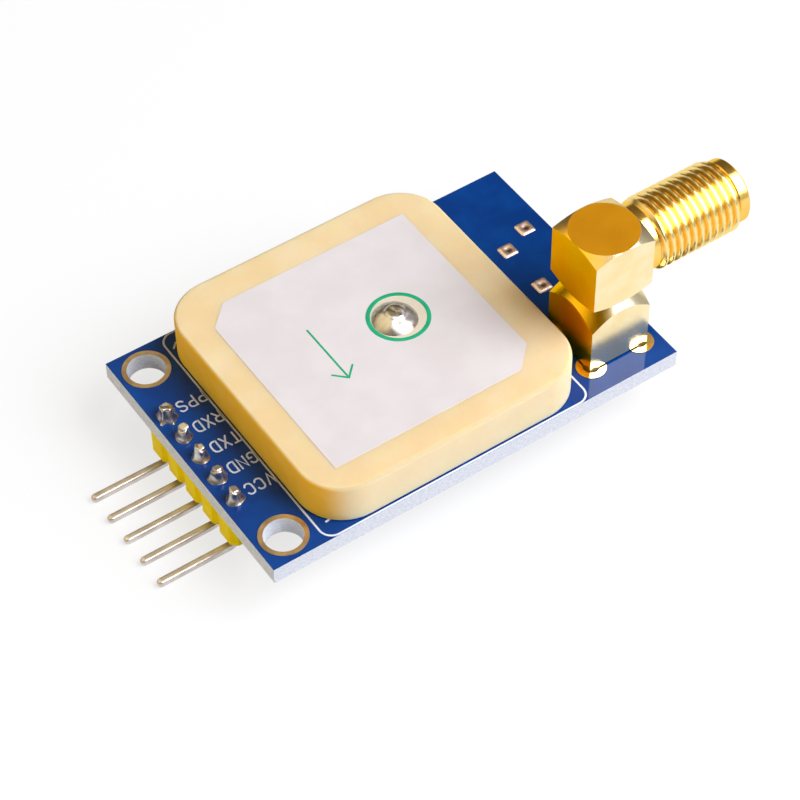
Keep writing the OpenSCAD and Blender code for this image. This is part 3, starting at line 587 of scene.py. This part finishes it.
def bent_pin(y, way):
    """Square pin with rounded edges: its section is carried down the leg, round a quarter circle
    and along to the tip. Over the nose it shrinks so that its size and the way, each to the power
    of two and a half, add up to one. The clipped top slants down towards the given way."""
    section = rounded_frame((-PIN_W / 2,) * 2, (PIN_W / 2,) * 2, PIN_EDGE_R, 7)
    leg = PIN_TOP - np.array([0, PIN_BURR, PIN_SHANK])
    bend = np.linspace(0, TAU / 4, 13)
    nose = np.sin(np.linspace(0, NOSE_TURN, 12)) / math.sin(NOSE_TURN)
    x = np.concatenate([np.full(len(leg), PIN_X), PIN_X - PIN_BEND_R * (1 - np.cos(bend)),
                        PIN_TIP_X + PIN_NOSE * (1 - nose)])
    z = np.concatenate([leg, PIN_AXIS_Z + PIN_BEND_R * (1 - np.sin(bend)),
                        np.full(len(nose), PIN_AXIS_Z)])
    size = np.concatenate([[BURR_SIZE], np.ones(len(leg) - 1 + len(bend)),
                           np.maximum(1 - nose ** NOSE_POWER, NOSE_LEAST) ** (1 / NOSE_POWER)])
    tilt = np.concatenate([np.zeros(len(leg)), bend, np.full(len(nose), TAU / 4)])
    along, across = section[None, :, 0] * size[:, None], section[None, :, 1] * size[:, None]
    points = np.stack([x[:, None] + across * np.cos(tilt)[:, None], y + along,
                       z[:, None] - across * np.sin(tilt)[:, None]], axis=-1)
    lower = 0.5 + (across * math.cos(way) + along * math.sin(way)) / (PIN_W * CLIP_SPREAD)
    points[:2, :, 2] -= CLIP_SLANT * lower[:2]
    return points.reshape(-1, 3), np.concatenate([
        grid_quads(len(x), len(section), wrap_cols=True), end_caps(len(x), len(section))])


make_piece("header_pins", [bent_pin(y, CLIP_TURN * i) for i, y in enumerate(PIN_YS)],
           finishes["pin_metal"], [f"header_pin_{i}" for i in range(1, 6)])

HEAP_HOLLOW, HEAP_SHOULDER, HEAP_TWIST, HEAP_LEAN = 2.1, 0.8, 0.1, 0.2
SPIKES, SPIKE_STEP, SPIKE_STRAY, SPIKE_LEAST, SPIKE_W = 6, 1.05, 0.3, 0.2, 0.2


def solder_heap(y, foot_r, neck_r, height, spikes, seed):
    """Solder round a clipped pin: over the way up, the radius falls from a lobed foot to the neck
    by a power of what is left, so that the flank is hollow, and then the neck rounds over. Sines
    of the angle, with seeded phases, give the lobes. The spikes that the iron pulled out of the
    foot are narrow bells round seeded angles, each with its own seeded length."""
    draw = np.random.default_rng(seed)
    angle = np.linspace(0, TAU, 72, endpoint=False)
    phase = draw.uniform(0, TAU, 6)
    lobes = (0.09 * np.sin(2 * angle + phase[0]) + 0.06 * np.sin(3 * angle + phase[1])
             + 0.04 * np.sin(5 * angle + phase[2]))
    stray = draw.uniform(-SPIKE_STRAY, SPIKE_STRAY, SPIKES)
    reach = draw.uniform(SPIKE_LEAST, 1, SPIKES)
    tips = phase[3] + np.arange(SPIKES) * SPIKE_STEP + stray
    aside = (angle[:, None] - tips + math.pi) % TAU - math.pi
    star = spikes * (reach * np.exp(-(aside / SPIKE_W) ** 2)).sum(axis=1)
    foot, neck = foot_r * (1 + lobes * 0.6 + star), neck_r * (1 + lobes + 0.3 * star)
    up = np.linspace(0, 1, 24)[:, None]
    over = np.linspace(0.08, 1, 12)[:, None] * TAU / 4
    radius = np.concatenate([0 * angle[None], neck + (foot - neck) * (1 - up) ** HEAP_HOLLOW,
                             neck * np.cos(over) ** 0.55])
    z = height * np.concatenate([[[0]], HEAP_SHOULDER * up ** 1.1,
                                 HEAP_SHOULDER + (1 - HEAP_SHOULDER) * np.sin(over) ** 0.8])
    rise = z / height
    radius = radius * (1 + HEAP_TWIST * rise * np.sin(2 * angle + phase[4] + 4 * rise))
    z = z * (1 - HEAP_LEAN * rise * (radius / neck_r) * np.cos(angle - phase[5]))
    points = np.stack([PIN_X + radius * np.cos(angle), y + radius * np.sin(angle),
                       BOARD_TOP + z], axis=-1)
    return points.reshape(-1, 3), grid_quads(len(z), len(angle), wrap_cols=True)


# For each pin: the foot as a share of the CAD joint's, the neck's radius, the height as a share of
# the pin's stub, the length of the spikes, and the seed.

STUB = PIN_TOP - BOARD_TOP
HEAPS = ((1.0, 0.46, 0.86, 0, 11), (1.03, 0.5, 0.8, 0, 12), (0.98, 0.45, 0.9, 0, 13),
         (0.97, 0.47, 0.84, 0, 14), (1.08, 0.58, 0.94, 0.42, 15))
make_piece("header_solder", [
    solder_heap(y, JOINT_R * foot, neck, STUB * tall, spikes, seed)
    for y, (foot, neck, tall, spikes, seed) in zip(PIN_YS, HEAPS)
], finishes["solder"], ["header_joints"])


# Solder over the feed and tin on the test pads, whose undersides sink a little into what carries
# them.

SUNK = 0.004
FEED_SWELL, FEED_HEAD_H, FEED_HEAD_R, FEED_HEAD_EDGE = 0.8, 0.19, 0.44, 0.035


def flat_bottomed(x, y, z, level):
    """Shell of a surface over rings of points, closed by the same rings pressed to one level."""
    under = np.stack([x[::-1], y[::-1], np.full_like(z, level)], axis=-1)
    points = np.concatenate([np.stack([x, y, z], axis=-1), under]).reshape(-1, 3)
    return points, grid_quads(2 * len(x), x.shape[1], wrap_rows=True, wrap_cols=True)


def feed_heap():
    """Solder over the feed pin: the height falls from the middle to the rim as one less a cube of
    the way out, the pin's flat head stands out of it as a smooth step, and slow ripples of the
    angle fade to the middle and to the rim."""
    angle = np.linspace(0, TAU, 72, endpoint=False)
    out = np.linspace(0.02, 1, 40)[:, None]
    rim = (DOME_HIGH[0] - DOME_LOW[0]) / 2 * (1 - 0.012 * (1 + np.sin(3 * angle + 0.6)))
    tall = DOME_HIGH[2] - DOME_LOW[2]
    ripple = 0.09 * np.sin(2 * angle + 0.9) * out * (1 - out) * 2
    ripple = ripple + 0.07 * np.sin(5 * angle + 2.0) * out ** 2 * (1 - out) * 3
    head = 1 / (1 + np.exp((out - FEED_HEAD_R - 0.03 * np.sin(angle + 1.0)) / FEED_HEAD_EDGE))
    z = tall * np.clip(FEED_SWELL * (1 - out ** 3) + FEED_HEAD_H * head + ripple, 0, 1)
    return flat_bottomed(FEED[0] + rim * out * np.cos(angle), FEED[1] + rim * out * np.sin(angle),
                         DOME_LOW[2] + z, DOME_LOW[2] - SUNK)


make_piece("feed_solder", [feed_heap()], finishes["solder"], ["feed_dome"])

PAD_W, PAD_H = 1.42, float(PAD_HIGH[2] - PAD_LOW[2])
PAD_SQUARE, PAD_SWELL, DIMPLE_DEPTH, DIMPLE_R = 7, 6, 0.8, 0.3


def tinned_pad(middle):
    """Tin drawn over a square pad: the rim is a square whose sides bow out, where the cosine and
    the sine to the power of seven add up to one. From the rim the tin swells as one less the way
    out to the power of six, and a bell-shaped dimple is pressed into the middle."""
    angle = np.linspace(0, TAU, 64, endpoint=False)
    out = np.linspace(0.02, 1, 28)[:, None]
    square = np.abs(np.cos(angle)) ** PAD_SQUARE + np.abs(np.sin(angle)) ** PAD_SQUARE
    reach = PAD_W / 2 * square ** (-1 / PAD_SQUARE) * out
    x, y = reach * np.cos(angle), reach * np.sin(angle)
    dimple = DIMPLE_DEPTH * np.exp(-(x ** 2 + y ** 2) / DIMPLE_R ** 2)
    z = PAD_H * (1 - out ** PAD_SWELL) * (1 - dimple)
    return flat_bottomed(middle[0] + x, middle[1] + y, PAD_LOW[2] + z, PAD_LOW[2] - SUNK)


make_piece("pad_tin", [tinned_pad(middle) for middle in PAD_MIDDLES], wetted_tin(),
           ["test_pads"])


# Printing on the board and on the antenna.

INK_H, INK_LIFT = 0.02, 0.003
LINE_W = 0.17
FRAME_GAP, FRAME_TUCK, FRAME_INSET, FRAME_R = 0.15, 0.1, 0.11, 1.1
TICK_W = 0.18
TICKS = [[(3.0, 10.9), (3.45, 11.35)], [(3.4, -10.95), (3.95, -10.87)]]

make_piece("printed_frame", [
    ink_stroke(rounded_frame((PATCH_LOW[0] - FRAME_GAP, BOARD_LOW[1] + FRAME_INSET),
                             (PATCH_HIGH[0] - FRAME_TUCK, BOARD_HIGH[1] - FRAME_INSET), FRAME_R),
               LINE_W, INK_H, BOARD_TOP, closed=True),
    *(ink_stroke(tick, TICK_W, INK_H, BOARD_TOP) for tick in TICKS),
], white_ink)

BOWL = [(0, 1), (0.38, 1), (0.54, 0.93), (0.6, 0.8), (0.6, 0.68), (0.54, 0.54), (0.38, 0.47),
        (0.05, 0.47)]
HOOK = [(0.6, 0.8), (0.5, 0.95), (0.3, 1), (0.1, 0.94), (0, 0.76), (0, 0.24), (0.1, 0.06),
        (0.3, 0), (0.5, 0.05), (0.6, 0.2)]
LETTERS = {
    "V": [[(0, 1), (0.3, 0), (0.6, 1)]],
    "C": [HOOK],
    "G": [HOOK + [(0.6, 0.46), (0.36, 0.46)]],
    "N": [[(0, 0), (0, 1), (0.6, 0), (0.6, 1)]],
    "D": [[(0, 0), (0, 1), (0.32, 1), (0.52, 0.9), (0.6, 0.7), (0.6, 0.3), (0.52, 0.1),
           (0.32, 0), (0.05, 0)]],
    "T": [[(0, 1), (0.6, 1)], [(0.3, 0.95), (0.3, 0)]],
    "X": [[(0, 0), (0.6, 1)], [(0, 1), (0.6, 0)]],
    "R": [[(0, 0)] + BOWL, [(0.3, 0.45), (0.6, 0)]],
    "P": [[(0, 0)] + BOWL],
    "S": [[(0.6, 0.84), (0.5, 0.96), (0.3, 1), (0.1, 0.96), (0, 0.82), (0, 0.7), (0.1, 0.57),
           (0.5, 0.44), (0.6, 0.3), (0.6, 0.18), (0.5, 0.04), (0.3, 0), (0.1, 0.04), (0, 0.16)]],
}
PIN_WORDS = ("VCC", "GND", "TXD", "RXD", "PPS")
LETTER_H, LETTER_STEP, LETTER_X, LETTER_W = 1.1, 0.91, 2.14, 0.16
LETTER_NARROW, LETTER_MID, LABEL_SHIFT = 0.88, 0.3, 0.18


def label(word, y):
    """Strokes of a pin's label. It reads along -X with its letters' tops towards -Y, so each
    letter's own width and height are taken off the place where the word starts."""
    shells = []
    for i, letter in enumerate(word):
        for k, stroke in enumerate(LETTERS[letter]):
            wide, tall = (np.array(stroke) - (LETTER_MID, 0)).T * LETTER_H
            wide = wide * LETTER_NARROW
            path = np.stack([LETTER_X - i * LETTER_STEP - wide, y + LETTER_H / 2 - tall], axis=1)
            shells.append(ink_stroke(path, LETTER_W, INK_H + INK_LIFT * k, BOARD_TOP))
    return shells


make_piece("pin_labels", [shell for word, y in zip(PIN_WORDS, PIN_YS)
                          for shell in label(word, y + LABEL_SHIFT)], white_ink)

ARROW_X, ARROW_FROM, ARROW_TO, ARROW_W, BARB = 11.1, 3.3, -2.7, 0.17, 0.95
make_piece("feed_ring", [
    ink_stroke(circle(RING_MIDDLE, RING_R), RING_W, INK_H, SILVER_TOP, closed=True),
], green_ink)
make_piece("orientation_arrow", [
    ink_stroke([(ARROW_X, ARROW_FROM), (ARROW_X, ARROW_TO)], ARROW_W, INK_H, SILVER_TOP),
    ink_stroke([(ARROW_X - BARB, ARROW_TO + BARB), (ARROW_X, ARROW_TO),
                (ARROW_X + BARB, ARROW_TO + BARB)], ARROW_W, INK_H + INK_LIFT, SILVER_TOP),
], green_ink)


# Camera, floor and light.

CAMERA_AT = (-59.826, -116.806, 160.015)
CAMERA_RIGHT = Vector((0.82608, -0.56344, -0.01121))
CAMERA_DOWN = Vector((-0.43458, -0.62425, -0.64919))
CAMERA_FORWARD = Vector((0.35878, 0.54116, -0.76054))
FOCAL_PX, IMAGE_PX, SENSOR = 2623.94, 800, 36.0
CLIP_FROM, CLIP_TO = 0.005, 20

camera_data = bpy.data.cameras.new("camera")
camera_data.sensor_width = SENSOR
camera_data.lens = FOCAL_PX / IMAGE_PX * SENSOR
camera_data.clip_start, camera_data.clip_end = CLIP_FROM, CLIP_TO
camera = bpy.data.objects.new("camera", camera_data)
bpy.context.scene.collection.objects.link(camera)
turned_to = Matrix((CAMERA_RIGHT, -CAMERA_DOWN, -CAMERA_FORWARD)).transposed().to_4x4()
camera.matrix_world = Matrix.Translation(Vector(CAMERA_AT) * MM) @ turned_to
bpy.context.scene.camera = camera


def seen_directly(start):
    """One for a ray from the camera or off a mirror or through glass, and nought for the rest."""
    rays = [start.node("LightPath", out=f"Is {kind} Ray")
            for kind in ("Camera", "Glossy", "Transmission")]
    return rays[0].math("MAXIMUM", rays[0].math("MAXIMUM", rays[0], rays[1]), rays[2])


FLOOR_REACH, FLOOR_DROP, FLOOR_GLOW = 3.0, 0.00002, 0.72
floor_z = cad_box[0][2] - FLOOR_DROP
floor_mesh = bpy.data.meshes.new("floor")
floor_mesh.from_pydata([(x * FLOOR_REACH, y * FLOOR_REACH, floor_z)
                        for x, y in ((-1, -1), (1, -1), (1, 1), (-1, 1))], [], [(0, 1, 2, 3)])
floor = bpy.data.objects.new("floor", floor_mesh)
bpy.context.scene.collection.objects.link(floor)
paper = Finish("floor_paper", "#ffffff", 0.9, Specular_IOR_Level=0.0)
seen = seen_directly(paper.start)
paper.set("Base Color", paper.mix(seen, "#c8c3b6", "#ffffff"))
glow = paper.start.node("Emission", None, {"Color": (1, 1, 1, 1), "Strength": 1.0})
lit = Signal(paper.tree, paper.shader.outputs[0])
blend = paper.start.node("MixShader", None, {0: seen * FLOOR_GLOW, 1: lit, 2: glow})
paper.tree.links.new(blend.socket, paper.tree.nodes["Material Output"].inputs["Surface"])
floor_mesh.materials.append(paper.material)

ROOM_BRIGHT, ROOM_DIM = (0.5, 0.52, 0.55, 1), (0.09, 0.065, 0.03, 1)
ROOM_IN_METAL, WARM_IN_METAL = (0.14, 0.11, 0.07, 1), (1.3, 1.1, 0.66, 1)
BRIGHT_SIDE, WARM_SIDE = (0.62, -0.7, 0.35), (-0.41, 0.34, 0.85)
BRIGHT_SPREAD, WARM_SPREAD = (0.35, 0.95), (0.58, 0.95)
world = bpy.data.worlds.new("studio")
bpy.context.scene.world = world
world.use_nodes = True
world.node_tree.nodes.clear()
sky = Signal(world.node_tree)
bright, warm = (sky.node("VectorMath", {"operation": "DOT_PRODUCT"},
                         {0: sky.node("TexCoord", out="Generated"), 1: side}, out="Value")
                for side in (BRIGHT_SIDE, WARM_SIDE))
mirrored = sky.mix(warm.between(*WARM_SPREAD), ROOM_IN_METAL, WARM_IN_METAL)
dim = sky.mix(sky.node("LightPath", out="Is Glossy Ray"), ROOM_DIM, mirrored)
tone = sky.mix(bright.between(*BRIGHT_SPREAD), dim, ROOM_BRIGHT)
tone = sky.mix(sky.node("LightPath", out="Is Camera Ray"), tone, (1, 1, 1, 1))
backdrop = sky.node("Background", None, {"Color": tone, "Strength": 1.0})
sky.tree.links.new(backdrop.socket, sky.tree.nodes.new("ShaderNodeOutputWorld").inputs[0])

MIDDLE = (17, 0, 4)


def softbox(name, at, size, watts, tint, in_metal=True):
    """Square lamp at a place, in millimetres, turned to face the middle of the part. Metal mirrors
    it unless told otherwise."""
    lamp = bpy.data.lights.new(name, "AREA")
    lamp.shape, lamp.size, lamp.energy, lamp.color = "SQUARE", size * MM, watts, tint
    box = bpy.data.objects.new(name, lamp)
    box.visible_glossy = in_metal
    bpy.context.scene.collection.objects.link(box)
    look = Vector(np.subtract(MIDDLE, at)).to_track_quat("-Z", "Y")
    box.matrix_world = Matrix.Translation(Vector(at) * MM) @ look.to_matrix().to_4x4()


softbox("key_light", at=(257, -250, 364), size=450, watts=3.65, tint=(0.98, 0.99, 1.05))
softbox("warm_fill", at=(-380, 20, 60), size=260, watts=0.78, tint=(1.0, 0.92, 0.72),
        in_metal=False)

bpy.context.scene.view_settings.view_transform = "Standard"
